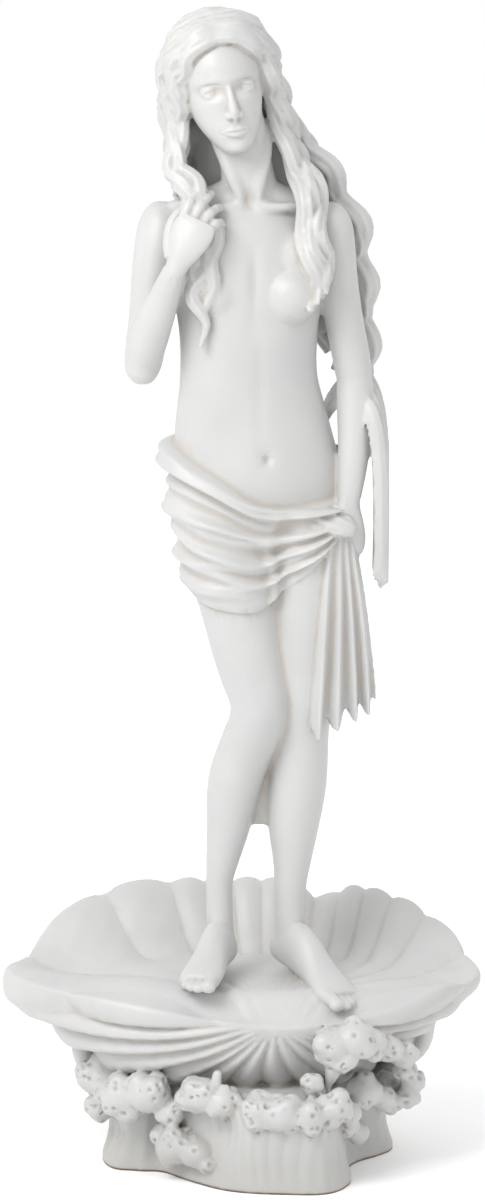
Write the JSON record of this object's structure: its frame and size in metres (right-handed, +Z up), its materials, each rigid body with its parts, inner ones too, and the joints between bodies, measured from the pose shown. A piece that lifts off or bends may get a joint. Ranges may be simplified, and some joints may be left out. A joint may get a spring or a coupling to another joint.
{
  "type": "aphrodite statue",
  "caption": "Cast marble statuette of Aphrodite with a hip drape, standing on a scallop shell carried by sea foam, with a flat underside.",
  "frame": {"origin": "middle of the flat underside", "axes": "+Z up through the figure, the figure faces -Y"},
  "size_m": [0.1216, 0.0837, 0.2934],
  "materials": {
    "cast_marble": "satin off-white cast marble"
  },
  "bodies": {
    "root": {"aphrodite_statue": "cast_marble"}
  },
  "joints": []
}
